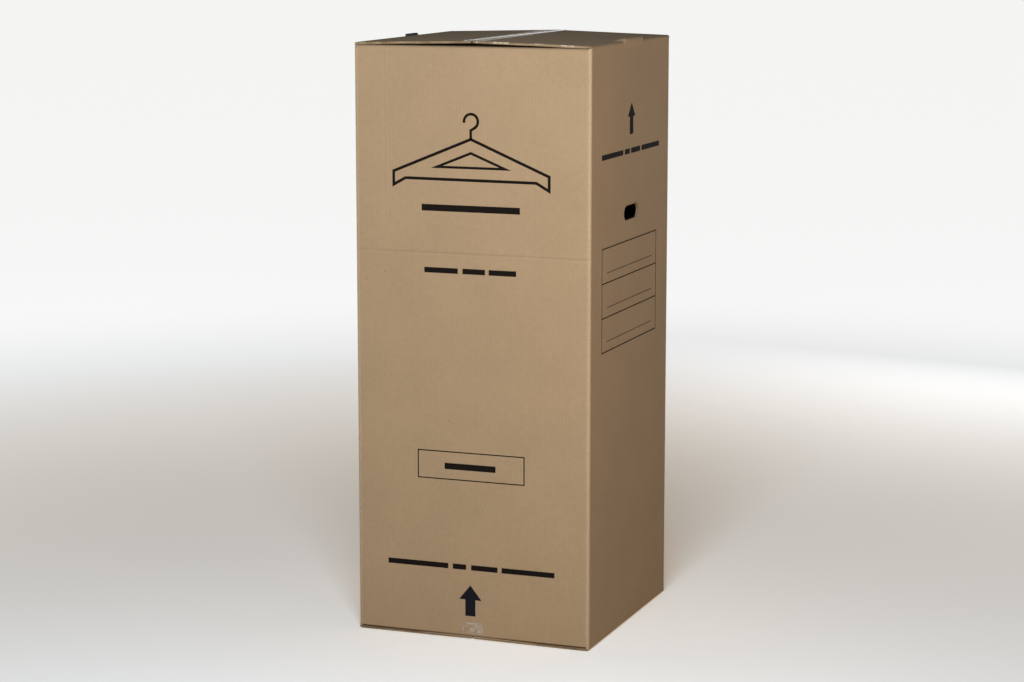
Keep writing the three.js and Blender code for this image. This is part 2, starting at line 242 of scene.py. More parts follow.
# Kraft liner of corrugated board: unbleached paper, matt, brown and faintly clouded, with long fibres and
# a few dark flecks of bark; the flutes underneath show as soft upright stripes
kraftLook = {
    "patterns": {"cloud": (120 * mm, 1.0), "mottle": (14 * mm, 2.0), "floc": (3.5 * mm, 3.0)},  # size, detail
    "fibreLength": 8 * mm,  # drawn about three times as coarse as real ones, which would not show
    "fibreWidth": 0.9 * mm,
    "toneShares": {"cloud": 0.34, "mottle": 0.3, "floc": 0.28, "fibre": 0.5, "wave": 0.035},
    "reliefShares": {"fibre": 0.6, "mottle": 1.6, "wave": 0.45},
    "relief": 0.09 * mm,
    "speckSpacing": 42 * mm,
    "speckRadius": 0.028,  # as a share of the spacing
    "speckShare": 0.1,  # of the cells of the pattern that hold one
    # the band along the upright folds is partly rubbed wear and partly a painted highlight of light on the
    # rounded folds
    "wornAndLitWidth": 9 * mm,
    "wornAndLitFull": 2 * mm,  # so near to a fold the paper is lightest, by rubbed wear and by painted highlight
    "wornMost": 0.9,
    # lines pressed into the front, drawn only in tone as painted shade (below 0) and painted highlight (above
    # 0) of their slopes: axis, place, half width, change of tone, where it ends above the floor
    "scores": [
        (2, 790 * mm, 2.2 * mm, -0.22, 0.0),
        (2, 785.5 * mm, 2.2 * mm, 0.2, 0.0),
        (0, -188 * mm, 1.6 * mm, 0.16, 815 * mm),
        (0, -184 * mm, 1.6 * mm, -0.14, 815 * mm),
        (0, -179.5 * mm, 1.6 * mm, 0.14, 815 * mm),
    ],
}


# A wave from -1 to 1 with the pitch of the flutes
def addFluteWave(tree, across):
    perLength = 2 * math.pi / board["flutePitch"]
    turns = addNode(tree, "ShaderNodeMath", {0: across, 1: perLength}, operation="MULTIPLY")
    return addNode(tree, "ShaderNodeMath", {0: turns}, operation="SINE")


def makeKraft():
    look = kraftLook
    material, tree, shader, place = newMaterial("kraft_liner", {
        "Roughness": 0.8, "IOR": 1.45, "Specular IOR Level": 0.2})
    boardUv = addNode(tree, "ShaderNodeUVMap", uv_map="board")
    layers = {
        name: addNode(tree, "ShaderNodeTexNoise", {"Vector": place, "Scale": 1 / size, "Detail": detail})
        for name, (size, detail) in look["patterns"].items()
    }
    fibreScale = (1 / look["fibreWidth"], 1 / look["fibreLength"], 1.0)
    along = addNode(tree, "ShaderNodeMapping", {"Vector": boardUv, "Scale": fibreScale})
    layers["fibre"] = addNode(tree, "ShaderNodeTexNoise", {
        "Vector": along, "Scale": 1.0, "Detail": 2.0, "Distortion": 0.8})
    # one tone from 0 to 1 gathers them all, around the middle of the four noises
    tone = 0.5 - sum(look["toneShares"][name] for name in layers) / 2
    layers["wave"] = addFluteWave(tree, addNode(tree, "ShaderNodeSeparateXYZ", {0: boardUv}))
    for name, share in look["toneShares"].items():
        tone = addNode(tree, "ShaderNodeMath", {0: layers[name], 1: share, 2: tone}, operation="MULTIPLY_ADD")
    split = addNode(tree, "ShaderNodeSeparateXYZ", {0: place}).outputs
    wallFace = -halfDepth + 1 * mm
    onFrontWall = addNode(tree, "ShaderNodeMath", {0: split[1], 1: wallFace}, operation="LESS_THAN")
    # each pressed line is a painted shade or a painted highlight, with no relief of its own
    for axis, at, half, paintedTone, lowest in look["scores"]:
        off = addNode(tree, "ShaderNodeMath", {0: split[axis], 1: at}, operation="SUBTRACT")
        off = addNode(tree, "ShaderNodeMath", {0: off}, operation="ABSOLUTE")
        above = addNode(tree, "ShaderNodeMath", {0: split[2], 1: lowest}, operation="GREATER_THAN")
        shown = addNode(tree, "ShaderNodeMath", {0: above, 1: onFrontWall}, operation="MULTIPLY")
        line = addNode(tree, "ShaderNodeMapRange", {
            "Value": off, "From Min": half, "From Max": 0.0, "To Max": paintedTone})
        tone = addNode(tree, "ShaderNodeMath", {0: line, 1: shown, 2: tone}, operation="MULTIPLY_ADD")
    colour = addNode(tree, "ShaderNodeMix", {0: tone, 6: linear("kraftDark"), 7: linear("kraftLight")},
                     data_type="RGBA")
    # the paper is lighter along the upright folds: partly rubbed wear, partly a painted highlight of light on
    # the rounded folds
    sides = [addNode(tree, "ShaderNodeMath", {0: split[i]}, operation="ABSOLUTE") for i in (0, 1)]
    nearest = addNode(tree, "ShaderNodeMath", {0: sides[0], 1: sides[1]}, operation="MINIMUM")
    atFold = addNode(tree, "ShaderNodeMapRange", {
        "Value": nearest, "From Min": halfWidth - look["wornAndLitWidth"], "From Max": halfWidth - look["wornAndLitFull"],
        "To Max": look["wornMost"]})
    wornAndLit = addNode(tree, "ShaderNodeMath", {0: atFold, 1: layers["floc"]}, operation="MULTIPLY")
    colour = addNode(tree, "ShaderNodeMix", {0: wornAndLit, 6: colour, 7: linear("kraftWornAndLit")}, data_type="RGBA")
    # flecks sit in a few cells of a coarse cell pattern
    cells = addNode(tree, "ShaderNodeTexVoronoi", {
        "Vector": place, "Scale": 1 / look["speckSpacing"]}).outputs
    near = addNode(tree, "ShaderNodeMapRange", {
        "Value": cells["Distance"], "From Min": look["speckRadius"], "From Max": look["speckRadius"] * 0.5})
    lot = addNode(tree, "ShaderNodeSeparateColor", {0: cells["Color"]})
    chosen = addNode(tree, "ShaderNodeMath", {0: lot, 1: look["speckShare"]}, operation="LESS_THAN")
    fleck = addNode(tree, "ShaderNodeMath", {0: near, 1: chosen}, operation="MULTIPLY")
    colour = addNode(tree, "ShaderNodeMix", {0: fleck, 6: colour, 7: linear("speck")}, data_type="RGBA")
    height = 0.0
    for name, share in look["reliefShares"].items():
        height = addNode(tree, "ShaderNodeMath", {0: layers[name], 1: share, 2: height},
                         operation="MULTIPLY_ADD")
    bump = addNode(tree, "ShaderNodeBump", {"Height": height, "Strength": 0.6, "Distance": look["relief"]})
    setInputs(tree, shader, {"Base Color": colour, "Normal": bump})
    return material


# Cut edge of the board: raw paper, rougher than the liner's face, its colour from the glue and the cut
rawLook = {
    "fuzz": 2 * mm,
    "stain": 28 * mm,
    "darkBelow": 0.12,  # levels of fuzz times stain
    "lightAbove": 0.4,
    "relief": 0.15 * mm,
}


def makeRawPaper(name, light, dark):
    look = rawLook
    material, tree, shader, place = newMaterial(name, {
        "Roughness": 0.92, "IOR": 1.4, "Specular IOR Level": 0.2})
    fuzz = addNode(tree, "ShaderNodeTexNoise", {
        "Vector": place, "Scale": 1 / look["fuzz"], "Detail": 4.0, "Roughness": 0.7})
    stain = addNode(tree, "ShaderNodeTexNoise", {"Vector": place, "Scale": 1 / look["stain"], "Detail": 2.0})
    both = addNode(tree, "ShaderNodeMath", {0: fuzz, 1: stain}, operation="MULTIPLY")
    tone = addNode(tree, "ShaderNodeMapRange", {
        "Value": both, "From Min": look["darkBelow"], "From Max": look["lightAbove"]})
    colour = addNode(tree, "ShaderNodeMix", {0: tone, 6: linear(dark), 7: linear(light)}, data_type="RGBA")
    bump = addNode(tree, "ShaderNodeBump", {"Height": fuzz, "Strength": 0.6, "Distance": look["relief"]})
    setInputs(tree, shader, {"Base Color": colour, "Normal": bump})
    return material


# Flexographic ink: thin water-based black, matt, worn a little thinner on the crests of the flutes
inkLook = {
    "grain": 1.3 * mm,
    "crestShare": 0.12,  # of the flutes in the wear, next to the grain
    "wornFrom": 0.5,
    "wornTo": 0.9,
    "wornMost": 0.5,
    "relief": 0.05 * mm,
}


def makeInk(name, dark):
    look = inkLook
    material, tree, shader, place = newMaterial(name, {
        "Roughness": 0.75, "IOR": 1.45, "Specular IOR Level": 0.06})
    split = addNode(tree, "ShaderNodeSeparateXYZ", {0: place}).outputs
    wave = addFluteWave(tree, addNode(tree, "ShaderNodeMath", {0: split[0], 1: split[1]}, operation="ADD"))
    grain = addNode(tree, "ShaderNodeTexNoise", {"Vector": place, "Scale": 1 / look["grain"], "Detail": 3.0})
    crest = addNode(tree, "ShaderNodeMath", {0: wave, 1: look["crestShare"], 2: grain},
                    operation="MULTIPLY_ADD")
    thin = addNode(tree, "ShaderNodeMapRange", {
        "Value": crest, "From Min": look["wornFrom"], "From Max": look["wornTo"], "To Max": look["wornMost"]})
    colour = addNode(tree, "ShaderNodeMix", {0: thin, 6: linear(dark), 7: linear("inkThin")},
                     data_type="RGBA")
    bump = addNode(tree, "ShaderNodeBump", {"Height": grain, "Strength": 0.4, "Distance": look["relief"]})
    setInputs(tree, shader, {"Base Color": colour, "Normal": bump})
    return material


# Clear packing tape: polypropylene film with clear glue, nearly unseen from straight on, drawn more opaque
# where
# it is loose or creased: partly the film's own milkiness there, partly a painted highlight
filmLook = {
    "streakWidth": 4 * mm,
    "streakLength": 70 * mm,
    "milkyFrom": 0.4,  # levels of the glue's noise
    "milkyTo": 0.75,
    # how much of the film is seen
    "milkyShare": 0.03,
    "edgeShare": 0.12,
    # the loose band and the creases are partly milky film and partly a painted highlight
    "looseSheenShare": 0.9,
    "creaseSheenShare": 0.55,
    "relief": 0.05 * mm,
}


def makeFilm():
    look = filmLook
    material, tree, shader, place = newMaterial("packing_tape_film", {
        "Base Color": linear("film"), "Roughness": 0.2, "IOR": 1.49,
        "Coat Weight": 0.8, "Coat Roughness": 0.06})
    streakScale = (1 / look["streakWidth"], 1 / look["streakLength"], 1 / look["streakLength"])
    streak = addNode(tree, "ShaderNodeMapping", {"Vector": place, "Scale": streakScale})
    glue = addNode(tree, "ShaderNodeTexNoise", {"Vector": streak, "Scale": 1.0, "Detail": 3.0})
    seen = addNode(tree, "ShaderNodeMapRange", {
        "Value": glue, "From Min": look["milkyFrom"], "From Max": look["milkyTo"],
        "To Max": look["milkyShare"]})
    edge = addNode(tree, "ShaderNodeFresnel", {"IOR": 1.49})
    loose = addNode(tree, "ShaderNodeAttribute", attribute_name="loose").outputs["Fac"]
    crease = addNode(tree, "ShaderNodeAttribute", attribute_name="crease").outputs["Fac"]
    # the loose band and the creases add opacity, partly milky film and partly a painted highlight
    for part, share in ((edge, "edgeShare"), (loose, "looseSheenShare"), (crease, "creaseSheenShare")):
        seen = addNode(tree, "ShaderNodeMath", {0: part, 1: look[share], 2: seen}, operation="MULTIPLY_ADD")
    seen.use_clamp = True
    bump = addNode(tree, "ShaderNodeBump", {"Height": glue, "Strength": 0.25, "Distance": look["relief"]})
    setInputs(tree, shader, {"Alpha": seen, "Normal": bump})
    return material


# Moulded polypropylene: black, satin, with the fine texture of a spark-eroded mould and rubbed high spots
mouldedLook = {
    "grain": 0.8 * mm,
    "rub": 18 * mm,
    "rubbedFrom": 0.45,
    "rubbedTo": 0.75,
    "roughness": 0.38,
    "roughnessShare": 0.2,  # of the rub in the roughness
    "relief": 0.04 * mm,
}


def makeMoulded():
    look = mouldedLook
    material, tree, shader, place = newMaterial("moulded_polypropylene", {"IOR": 1.49})
    grain = addNode(tree, "ShaderNodeTexNoise", {"Vector": place, "Scale": 1 / look["grain"], "Detail": 2.0})
    rub = addNode(tree, "ShaderNodeTexNoise", {"Vector": place, "Scale": 1 / look["rub"], "Detail": 3.0})
    tone = addNode(tree, "ShaderNodeMapRange", {
        "Value": rub, "From Min": look["rubbedFrom"], "From Max": look["rubbedTo"]})
    colour = addNode(tree, "ShaderNodeMix", {0: tone, 6: linear("plastic"), 7: linear("plasticRubbed")},
                     data_type="RGBA")
    rough = addNode(tree, "ShaderNodeMath", {0: rub, 1: look["roughnessShare"], 2: look["roughness"]},
                    operation="MULTIPLY_ADD")
    bump = addNode(tree, "ShaderNodeBump", {"Height": grain, "Strength": 0.3, "Distance": look["relief"]})
    setInputs(tree, shader, {"Base Color": colour, "Roughness": rough, "Normal": bump})
    return material


kraftLiner = makeKraft()
cutPaper = makeRawPaper("cut_paper", "rawLight", "rawDark")
flutedMedium = makeRawPaper("fluted_medium", "mediumLight", "mediumDark")
brownInk = makeInk("flexo_ink", "inkBrown")
blueInk = makeInk("flexo_ink_arrow", "inkBlue")
barkFleck = makeRawPaper("bark_fleck", "speck", "speckDark")
flakePaper = makeRawPaper("torn_liner_paper", "flakeLight", "flakeDark")
clearFilm = makeFilm()
mouldedBlack = makeMoulded()
print("finishes made")


# The carton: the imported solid's own form, with its raw edges opened between two paper liners

cartonLook = {
    "weld": 0.002 * mm,
    "levelAngle": 0.4,  # degrees: edges flatter than this are taken out
    "sharpAngle": 32,  # degrees: edges sharper than this stay sharp
    "bendSlack": 0.4 * mm,  # a flap starts so far inside the bend that carries it
    "endSlack": 0.06 * mm,  # and its raw end is found within so much
    "behind": 0.02 * mm,  # where the look behind a face starts
    "rawFrom": 2.6,  # a face with no other one behind it within so many thicknesses is a cut edge
    "tearLineDepth": 0.7 * mm,  # just past the bottom of the line pressed across the front
    "innerFlaps": (6 * mm, 1198.2 * mm),  # the level faces between these heights are of inner flaps
    "facing": 0.7,  # a face points along an axis from this share of its normal
}


def isRawFace(face, tree):
    # a paper face has the other side of the board right behind it, a cut edge doesn't
    look = cartonLook
    hit = tree.ray_cast(face.calc_center_median() - face.normal * look["behind"], -face.normal)
    inTearLine = all(vertex.co.y < -halfDepth + look["tearLineDepth"] for vertex in face.verts)
    return (hit[0] is None or hit[3] > look["rawFrom"] * board["thickness"]) and not inTearLine


# The ends of the outer flaps are bent out to the walls' faces, at the top only near the side folds
def endShift(x, atTop):
    near = min(1.0, max(0.0, (abs(x) - board["bentFrom"]) / (board["bentTo"] - board["bentFrom"])))
    return board["endShift"] * (near * near * (3 - 2 * near) if atTop else 1.0)


# The board's own two directions: across the flutes, and along them
def boardPlace(place, normal):
    lowest, highest = cartonLook["innerFlaps"]
    if abs(normal.y) > cartonLook["facing"]:
        return (place.x, place.z)
    if abs(normal.x) > cartonLook["facing"]:
        return (place.y, place.z)
    return (place.x, place.y) if lowest < place.z < highest else (place.y, place.x)


def makeBoardMesh():
    look = cartonLook
    form = bmesh.new()
    form.from_mesh(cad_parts["carton"].data)
    bmesh.ops.remove_doubles(form, verts=form.verts, dist=look["weld"])
    flapBand = board["foldRadius"] - look["bendSlack"]
    for vertex in form.verts:
        x, y, z = vertex.co
        atTop = z > board["sideTop"] - flapBand
        if (atTop or z < flapBand) and abs(abs(y) - board["flapHalf"]) < look["endSlack"]:
            vertex.co.y += math.copysign(endShift(x, atTop), y)
    form.normal_update()
    tree = BVHTree.FromBMesh(form)
    for face in form.faces:
        face.smooth = True
        face.material_index = 2 if isRawFace(face, tree) else 0
    bmesh.ops.dissolve_limit(form, angle_limit=math.radians(look["levelAngle"]), verts=form.verts,
                             edges=form.edges, delimit={"MATERIAL"})
    raw = [face for face in form.faces if face.material_index == 2]
    rims = bmesh.ops.inset_region(form, faces=raw, thickness=board["liner"], depth=-board["fluteDepth"],
                                  use_boundary=True, use_even_offset=False)
    for face in rims["faces"]:
        face.material_index = 1
    placeOnBoard(form, boardPlace)
    mesh = keepForm(form, bpy.data.meshes.new("carton_board"))
    mesh.set_sharp_from_angle(angle=math.radians(look["sharpAngle"]))
    return mesh


carton = addPiece("carton_board", makeBoardMesh(), [kraftLiner, cutPaper, flutedMedium])
weighted = carton.modifiers.new("weighted_normals", "WEIGHTED_NORMAL")
weighted.keep_sharp = True
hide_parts("carton")
cartonTree = BVHTree.FromObject(carton, bpy.context.evaluated_depsgraph_get())
print("carton made")


# The board is crushed where three folds meet, which closes the cuts at the eight corners

cornerLook = {
    "steps": 6,
    "ranges": ((1190.5 * mm, 1198.0 * mm), (4.9 * mm, 13.5 * mm)),  # heights at the top and at the bottom
    "out": 0.08 * mm,  # past the walls' faces
    "inside": 0.4 * mm,  # short of their inner faces
}


def makeCorners():
    look, radius = cornerLook, board["foldRadius"]
    reaches = (radius + look["out"], radius - board["thickness"] + look["inside"])
    vertices, faces = [], []
    for signX, signY in ((1, 1), (-1, 1), (-1, -1), (1, -1)):
        for z0, z1 in look["ranges"]:
            start = len(vertices)
            for i in range(look["steps"] + 1):
                angle = math.radians(90 * i / look["steps"])
                for reach in reaches:
                    x = signX * (halfWidth - radius + reach * math.cos(angle))
                    y = signY * (halfDepth - radius + reach * math.sin(angle))
                    vertices += [Vector((x, y, z0)), Vector((x, y, z1))]
            last = start + 4 * look["steps"]
            faces += [(start, start + 2, start + 3, start + 1), (last, last + 1, last + 3, last + 2)]
            for a in range(start, last, 4):
                b = a + 4
                faces += [(a, a + 1, b + 1, b), (a + 2, b + 2, b + 3, a + 3),
                          (a + 1, a + 3, b + 3, b + 1), (a, b, b + 2, a + 2)]
    mesh, form = closedForm("crushed_corners", vertices, faces)
    for face in form.faces:
        face.smooth = True
    placeOnBoard(form, lambda place, normal: (place.x + place.y, place.z))
    keepForm(form, mesh).set_sharp_from_angle(angle=math.radians(cartonLook["sharpAngle"]))
    addPiece("crushed_corners", mesh, [kraftLiner])


makeCorners()
print("corners made")


# The fluted medium between the liners, seen where the board is cut

fluteLook = {
    "crossed": {"pitch": board["flutePitch"], "swing": 1.55 * mm},
    "along": {"pitch": 330 * mm, "swing": 1.1 * mm},  # a cut along the flutes slowly wanders across one
    "crossedStep": 0.7 * mm,
    "alongStep": 6 * mm,
    "below": 0.12 * mm,  # under the rims of the liners
    "inset": 2.6 * mm,  # how far inside a cut the height of its flap is read
    "endRoom": 3 * mm,  # from the end of a cut to its flutes
    "sideSteps": 12,
    "handHoleReach": 29 * mm,  # half of the straight part of the rim
    "handHoleTop": 871 * mm,
    "handHoleBottom": 842 * mm,
}


def makeFluteTree():
    tree, given, names = newGeometryTree("flutes", ("Step", "Thickness", "Depth", "Below"), {
        "across": "FLOAT_VECTOR", "outward": "FLOAT_VECTOR", "pitch": "FLOAT", "swing": "FLOAT"})
    line = addPath(tree, given)
    run = addNode(tree, "GeometryNodeSplineParameter").outputs["Length"]
    turns = addNode(tree, "ShaderNodeMath", {0: run, 1: names["pitch"]}, operation="DIVIDE")
    angle = addNode(tree, "ShaderNodeMath", {0: turns, 1: 2 * math.pi}, operation="MULTIPLY")
    wave = addNode(tree, "ShaderNodeMath", {0: angle}, operation="SINE")
    reach = addNode(tree, "ShaderNodeMath", {0: wave, 1: names["swing"]}, operation="MULTIPLY")
    side = addNode(tree, "ShaderNodeVectorMath", {0: names["across"], "Scale": reach}, operation="SCALE")
    half = addNode(tree, "ShaderNodeMath", {0: given["Depth"], 1: -0.5}, operation="MULTIPLY")
    sink = addNode(tree, "ShaderNodeMath", {0: half, 1: given["Below"]}, operation="SUBTRACT")
    inward = addNode(tree, "ShaderNodeVectorMath", {0: names["outward"], "Scale": sink}, operation="SCALE")
    shift = addNode(tree, "ShaderNodeVectorMath", {0: side, 1: inward}, operation="ADD")
    line = addNode(tree, "GeometryNodeSetPosition", {"Geometry": line, "Offset": shift})
    line = addNode(tree, "GeometryNodeSetCurveNormal", {
        "Curve": line, "Normal": names["outward"]}, mode="FREE")
    section = addNode(tree, "GeometryNodeCurvePrimitiveQuadrilateral", {
        "Width": given["Depth"], "Height": given["Thickness"]})
    strip = addNode(tree, "GeometryNodeCurveToMesh", {
        "Curve": line, "Profile Curve": section, "Fill Caps": True})
    return endTree(tree, given, strip)


# Height of the middle of the board under or over a point of a flap
def flapMiddle(x, y, atTop):
    start = Vector((x, y, boxHigh.z + 0.05 if atTop else -0.05))
    hit = cartonTree.ray_cast(start, -up if atTop else up)
    return hit[0].z + (-1 if atTop else 1) * board["thickness"] / 2


# Each run: its points, the direction across the board, the direction out of the cut, and if it crosses
# the flutes
def listFluteRuns():
    look, reach, runs = fluteLook, board["flapHalf"], []
    first, last = halfWidth - board["foldRadius"] - look["endRoom"], look["endRoom"]
    places = [first + (last - first) * i / look["sideSteps"] for i in range(look["sideSteps"] + 1)]
    for atTop in (True, False):
        seamEnd = reach + endShift(0.0, atTop) - look["endRoom"]
        for side in (-1, 1):
            edge = side * board["seamHalf"]
            inside = edge + side * look["inset"]
            seamLine = [Vector((edge, y, flapMiddle(inside, y, atTop))) for y in (-seamEnd, 0.0, seamEnd)]
            runs.append((seamLine, up, Vector((-side, 0, 0)), True))
            for end in (-1, 1):
                inside = end * (reach - look["inset"])
                endLine = [Vector((side * x, end * (reach + endShift(x, atTop)),
                                   flapMiddle(side * x, inside, atTop))) for x in places]
                runs.append((endLine, up, Vector((0, end, 0)), False))
    for side in (-1, 1):
        x = side * (halfWidth - board["thickness"] / 2)
        for z, out in ((look["handHoleTop"], -up), (look["handHoleBottom"], up)):
            rim = [Vector((x, y, z)) for y in (-look["handHoleReach"], look["handHoleReach"])]
            runs.append((rim, Vector((1, 0, 0)), out, True))
    return runs


def makeFlutes(name, runs, kind):
    vertices, edges, values = [], [], {"across": [], "outward": [], "pitch": [], "swing": []}
    for points, across, outward, crossing in runs:
        start = len(vertices)
        vertices += points
        edges += [(start + i, start + i + 1) for i in range(len(points) - 1)]
        for label, value in {"across": across, "outward": outward, **fluteLook[kind]}.items():
            values[label] += [value] * len(points)
    base = meshOf(name + "_runs", vertices, [], edges)
    keepValues(base, values)
    mesh = grownMesh(name, base, fluteTree, {
        "Step": fluteLook[kind + "Step"], "Thickness": board["medium"], "Depth": board["fluteDepth"],
        "Below": fluteLook["below"], "Material": flutedMedium})
    addPiece(name, mesh)


fluteTree = makeFluteTree()
fluteRuns = listFluteRuns()
makeFlutes("flutes_crossed", [run for run in fluteRuns if run[3]], "crossed")
makeFlutes("flutes_along", [run for run in fluteRuns if not run[3]], "along")
print("flutes made")


# The packing tape: one tree lays a strip of film over a path, with creases where it is slack

tapeLook = {
    "width": 48 * mm,
    "film": 0.08 * mm,
    "clear": 0.35 * mm,  # from the board to the middle of the film
    "step": 1.6 * mm,
    "crossPoints": 31,
    "creaseHeight": 1.0 * mm,
    "creaseSize": 11 * mm,
    # how slack the film is, with 1 for fully creased
    "slackFront": 1.0,
    "slackBack": 0.6,
    "slackMiddle": 0.08,
    "slackTurnedUp": 0.32,
    "slackUnder": 0.05,
    "slackReach": 55 * mm,  # how far the creases go from an end of the top tape
    "sheenBandHalf": 6.5 * mm,  # half of the width of the band that isn't stuck down, drawn partly as a painted highlight
    "sheenBandFront": -14 * mm,  # where that band lies at the front and at the back
    "sheenBandBack": 19 * mm,
    "noSheenBand": 1.0,  # so far aside that no band shows
    "topSteps": 40,
    "riseFront": 6 * mm,  # how far the taped top springs up at its seam
    "riseBack": 7 * mm,
    "bottomRise": 1.4 * mm,
    "turnUp": 35 * mm,
    "turnSteps": 24,
    "foldTop": 11.7 * mm,  # where the wall ends above its lower fold
    "foldFade": 8 * mm,  # the creases fade towards that fold
    "edgeDrop": 3 * mm,  # the film is straight down to here, over the flap's raw end,
    "edgeRound": 0.6 * mm,  # turns under it so tightly,
    "edgeFlat": 8 * mm,  # and lies flat from here
}


def makeTapeTree():
    sizes = ("Step", "Width", "Crease Height", "Crease Size", "Band Half")
    tree, given, names = newGeometryTree("tape", sizes, {
        "outward": "FLOAT_VECTOR", "slack": "FLOAT", "fall": "FLOAT", "band": "FLOAT"})
    line = addNode(tree, "GeometryNodeSetCurveNormal", {
        "Curve": addPath(tree, given), "Normal": names["outward"]}, mode="FREE")
    sheet = addStrip(tree, line, given["Width"], "Y", tapeLook["crossPoints"])
    # creases: the valleys of a noise, drawn as sharp little ridges that fade away from the tape's ends
    place = addNode(tree, "GeometryNodeInputPosition")
    finer = addNode(tree, "ShaderNodeMath", {0: 1.0, 1: given["Crease Size"]}, operation="DIVIDE")
    noise = addNode(tree, "ShaderNodeTexNoise", {
        "Vector": place, "Scale": finer, "Detail": 1.5, "Distortion": 1.2})
    centred = addNode(tree, "ShaderNodeMath", {0: noise, 1: 0.5}, operation="SUBTRACT")
    ridge = addNode(tree, "ShaderNodeMath", {0: centred}, operation="ABSOLUTE")
    ridge = addNode(tree, "ShaderNodeMapRange", {"Value": ridge, "From Min": 0.07, "From Max": 0.0})
    crease = addNode(tree, "ShaderNodeMath", {0: ridge, 1: names["slack"]}, operation="MULTIPLY")
    height = addNode(tree, "ShaderNodeMath", {0: crease, 1: given["Crease Height"]}, operation="MULTIPLY")
    lift = addNode(tree, "ShaderNodeVectorMath", {0: names["outward"], "Scale": height}, operation="SCALE")
    # one band along the tape is taken as not stuck down; the film is drawn nearly opaque there, partly its
    # milkiness, partly a painted highlight along the seam
    acrossPlace = addNode(tree, "ShaderNodeSeparateXYZ", {0: place})
    offBand = addNode(tree, "ShaderNodeMath", {0: acrossPlace, 1: names["band"]}, operation="SUBTRACT")
    offBand = addNode(tree, "ShaderNodeMath", {0: offBand}, operation="ABSOLUTE")
    loose = addNode(tree, "ShaderNodeMapRange", {
        "Value": offBand, "From Min": given["Band Half"], "From Max": 0.0}, interpolation_type="SMOOTHSTEP")
    for label, value in (("crease", crease), ("loose", loose)):
        sheet = addNode(tree, "GeometryNodeStoreNamedAttribute", {
            "Geometry": sheet, "Name": label, "Value": value}, data_type="FLOAT", domain="POINT")
    # the taped top falls away on both sides of its seam
    away = addNode(tree, "ShaderNodeMath", {0: acrossPlace}, operation="ABSOLUTE")
    drop = addNode(tree, "ShaderNodeMath", {0: away, 1: names["fall"]}, operation="MULTIPLY")
    lower = addNode(tree, "ShaderNodeVectorMath", {0: -up, "Scale": drop}, operation="SCALE")
    shift = addNode(tree, "ShaderNodeVectorMath", {0: lift, 1: lower}, operation="ADD")
    sheet = addNode(tree, "GeometryNodeSetPosition", {"Geometry": sheet, "Offset": shift})
    sheet = addNode(tree, "GeometryNodeSetShadeSmooth", {0: sheet, "Shade Smooth": True})
    return endTree(tree, given, sheet)


def makeTape(name, node, points, values):
    base = meshOf(name + "_path", points, [], [(i, i + 1) for i in range(len(points) - 1)])
    keepValues(base, values)
    mesh = grownMesh(name, base, tapeTree, {
        "Step": tapeLook["step"], "Width": tapeLook["width"], "Crease Height": tapeLook["creaseHeight"],
        "Crease Size": tapeLook["creaseSize"], "Band Half": tapeLook["sheenBandHalf"], "Material": clearFilm,
    }, solidify=tapeLook["film"])
    tape = addPiece(name, mesh)
    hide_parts(node)


def makeTopTape():
    look, reach = tapeLook, board["flapHalf"]
    points, values = [], {"outward": [], "slack": [], "fall": [], "band": []}
    for step in range(look["topSteps"] + 1):
        share = step / look["topSteps"]
        y = -reach + 2 * reach * share
        rise = look["riseFront"] + (look["riseBack"] - look["riseFront"]) * share
        points.append(Vector((0, y, board["sideTop"] + rise + look["clear"])))
        values["outward"].append(up)
        values["slack"].append(max(look["slackMiddle"], look["slackFront"] - (reach + y) / look["slackReach"],
                                   look["slackBack"] - (reach - y) / look["slackReach"]))
        values["fall"].append(rise / (halfWidth - board["foldRadius"]))
        values["band"].append(look["sheenBandFront"] + (look["sheenBandBack"] - look["sheenBandFront"]) * share)
    makeTape("tape_top_film", "tape_top", points, values)


# Down the front, round the fold, under the flaps, and up the back, where it is half as slack
def makeBottomTape():
    look = tapeLook
    low = look["bottomRise"] - look["clear"]
    away = halfDepth + look["clear"]
    edge = board["flapHalf"] + board["endShift"] + look["clear"]
    half = []  # distance from the middle, height, direction out, slack
    for step in range(look["turnSteps"] + 1):
        z = look["turnUp"] - (look["turnUp"] - look["foldTop"]) * step / look["turnSteps"]
        fade = min(1.0, (z - look["foldTop"]) / look["foldFade"])
        half.append((away, z, Vector((0, 1, 0)), look["slackTurnedUp"] * fade))
    half += [
        (edge, low + look["edgeDrop"], Vector((0, 1, 0)), 0.0),
        (edge, low + look["edgeRound"], Vector((0, 0.9, -0.4)), 0.0),
        (edge - look["edgeRound"], low, Vector((0, 0.4, -0.9)), 0.0),
        (edge - look["edgeFlat"], low, -up, 0.0),
        (board["flapHalf"] / 2, low, -up, look["slackUnder"]),
    ]
    points, outward, slack = [], [], []
    for side, stretch, share in ((-1, half, 1.0), (1, reversed(half), 0.5)):
        for y, z, out, loose in stretch:
            points.append(Vector((0, side * y, z)))
            outward.append(Vector((0, side * out.y, out.z)))
            slack.append(loose * share)
    count = len(points)
    makeTape("tape_bottom_film", "tape_bottom", points, {
        "outward": outward, "slack": slack, "fall": [0.0] * count, "band": [look["noSheenBand"]] * count})


tapeTree = makeTapeTree()
makeTopTape()
makeBottomTape()
print("tape laid")


# The right fold's liner is pushed up over the rail's hook and hides it

bulgeLook = {
    "front": -52 * mm,
    "back": 75 * mm,
    "blend": 13 * mm,
    "paper": 0.45 * mm,
    "clear": 0.3 * mm,
    "rows": 58,
    "cuts": 2,  # made in each stretch of the profile, to round it
    # from the flap over the hook to the wall: mm from the middle, mm over the side folds
    "raised": [(226, 1.0), (233, 3.4), (238, 5.0), (243, 5.3), (246.5, 5.3), (249, 5.0), (250.3, 3.4),
               (250.75, 0.5), (250.6, -3.2), (250.2, -7), (249.4, -14)],
    "wallFrom": -3,  # mm: the points of that profile that are lower lie on the wall
}


